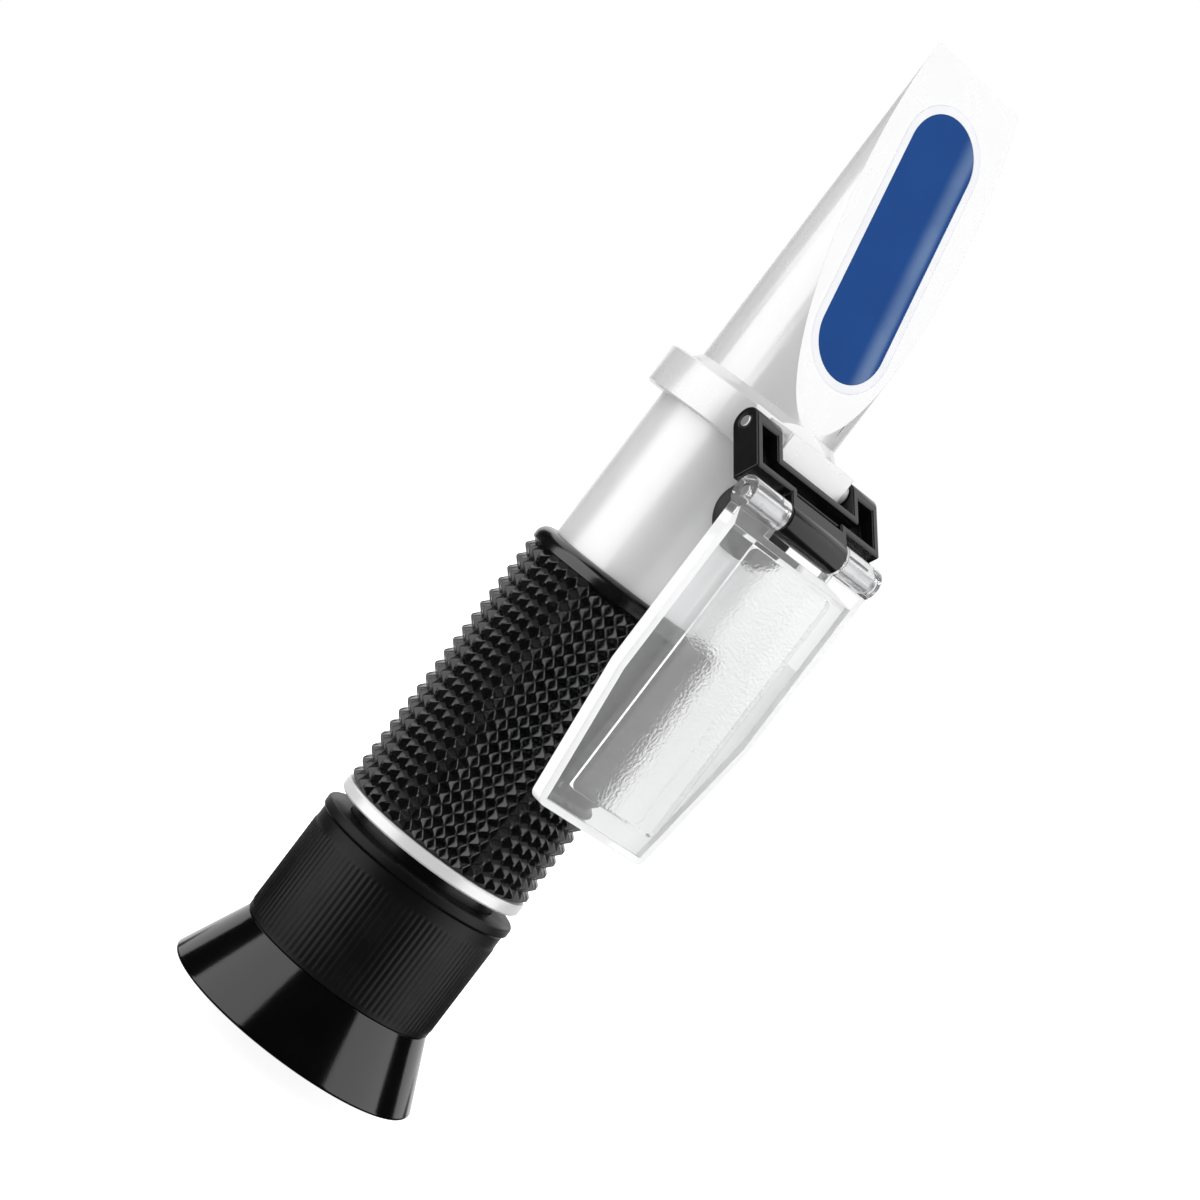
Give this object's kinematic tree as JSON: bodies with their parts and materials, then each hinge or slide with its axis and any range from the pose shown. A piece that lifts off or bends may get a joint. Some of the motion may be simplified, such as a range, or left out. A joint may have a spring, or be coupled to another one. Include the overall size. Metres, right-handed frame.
{
  "type": "antifreeze refractometer",
  "caption": "Hand-held refractometer with a flared eyecup, turning focus ring, studded grip, slanted prism face and a clear daylight plate on a folding link.",
  "frame": {"origin": "centre of the eyecup's flat rim, on the optical axis, with the focus screwed fully in", "axes": "+Z along the optical axis from the eyecup towards the prism's tip; +X towards the side of the prism face, the hinge and the calibration cap; +Y completes the right-handed frame"},
  "size_m": [0.0472, 0.0396, 0.16],
  "materials": {
    "body_tube": "satin, fine grain",
    "grip_sleeve": "matte, studded",
    "hinge_collar": "satin, fine grain",
    "prism_head": "satin, fine grain",
    "measuring_prism": "polished blue",
    "prism_seal": "white cement",
    "aperture_stop": "black anodised",
    "head_o_ring": "matte",
    "focus_o_ring": "matte",
    "light_baffle": "matte",
    "reticle_holder": "turned",
    "reticle": "polished",
    "reticle_retaining_ring": "turned",
    "reticle_set_screws": "satin",
    "collar_set_screws": "satin",
    "guide_pin": "satin",
    "lug_pin": "satin",
    "carriage_guide": "turned",
    "carriage_spring": "satin",
    "calibration_bush": "turned",
    "calibration_cap": "matte",
    "carriage_frame": "turned",
    "bimetal_strip": "turned",
    "objective_cell": "black anodised",
    "objective_lens": "polished",
    "objective_retaining_ring": "black anodised",
    "calibration_screw": "satin",
    "hinge_link": "glossy black",
    "cover_pin": "satin",
    "daylight_plate": "clear moulded plastic with a frosted pad",
    "eyepiece_cell": "black anodised",
    "eye_lens": "polished",
    "lens_spacer": "black anodised",
    "field_lens": "polished",
    "lens_retaining_ring": "black anodised",
    "focus_ring": "black, fine straight ribs",
    "cell_clip": "satin",
    "eyecup": "glossy"
  },
  "bodies": {
    "barrel": {"body_tube": "body_tube", "grip_sleeve": "grip_sleeve", "hinge_collar": "hinge_collar", "prism_head": "prism_head", "measuring_prism": "measuring_prism", "prism_seal": "prism_seal", "aperture_stop": "aperture_stop", "head_o_ring": "head_o_ring", "focus_o_ring": "focus_o_ring", "light_baffle": "light_baffle", "reticle_holder": "reticle_holder", "reticle": "reticle", "reticle_retaining_ring": "reticle_retaining_ring", "reticle_set_screws": "reticle_set_screws", "collar_set_screws": "collar_set_screws", "guide_pin": "guide_pin", "lug_pin": "lug_pin", "carriage_guide": "carriage_guide", "carriage_spring": "carriage_spring", "calibration_bush": "calibration_bush", "calibration_cap": "calibration_cap"},
    "carriage": {"carriage_frame": "carriage_frame", "bimetal_strip": "bimetal_strip", "objective_cell": "objective_cell", "objective_lens": "objective_lens", "objective_retaining_ring": "objective_retaining_ring"},
    "zero_screw": {"calibration_screw": "calibration_screw"},
    "link": {"hinge_link": "hinge_link", "cover_pin": "cover_pin"},
    "cover": {"daylight_plate": "daylight_plate"},
    "eyepiece": {"eyepiece_cell": "eyepiece_cell", "eye_lens": "eye_lens", "lens_spacer": "lens_spacer", "field_lens": "field_lens", "lens_retaining_ring": "lens_retaining_ring"},
    "focus": {"focus_ring": "focus_ring", "cell_clip": "cell_clip", "eyecup": "eyecup"}
  },
  "joints": [
    {"name": "link_hinge", "type": "hinge", "parent": "barrel", "child": "link", "pos_m": [0.01563, 0, 0.10318], "axis": [0, -1, 0], "range_deg": [0, 148.3]},
    {"name": "cover_hinge", "type": "hinge", "parent": "link", "child": "cover", "pos_m": [0.02502, 0, 0.09597], "axis": [0, -1, 0], "range_deg": [-10, 50.1]},
    {"name": "focus_travel", "type": "slide", "parent": "barrel", "child": "eyepiece", "axis": [0, 0, -1], "range_m": [0, 0.0045]},
    {"name": "focus_turn", "type": "hinge", "parent": "eyepiece", "child": "focus", "pos_m": [0, 0, 0.02], "axis": [0, 0, 1], "range_deg": [0, 270]},
    {"name": "carriage_travel", "type": "slide", "parent": "barrel", "child": "carriage", "axis": [1, 0, 0], "range_m": [-0.0005, 0.0005], "deforming": ["carriage_spring"]},
    {"name": "calibration_turn", "type": "hinge", "parent": "carriage", "child": "zero_screw", "pos_m": [0.01, 0, 0.0934], "axis": [1, 0, 0], "range_deg": [-360, 360]}
  ],
  "couplings": [
    {"joint": "focus_travel", "follows": "focus_turn", "m_per_rad": 0.00095493},
    {"joint": "calibration_turn", "follows": "carriage_travel", "rad_per_m": 12566}
  ]
}
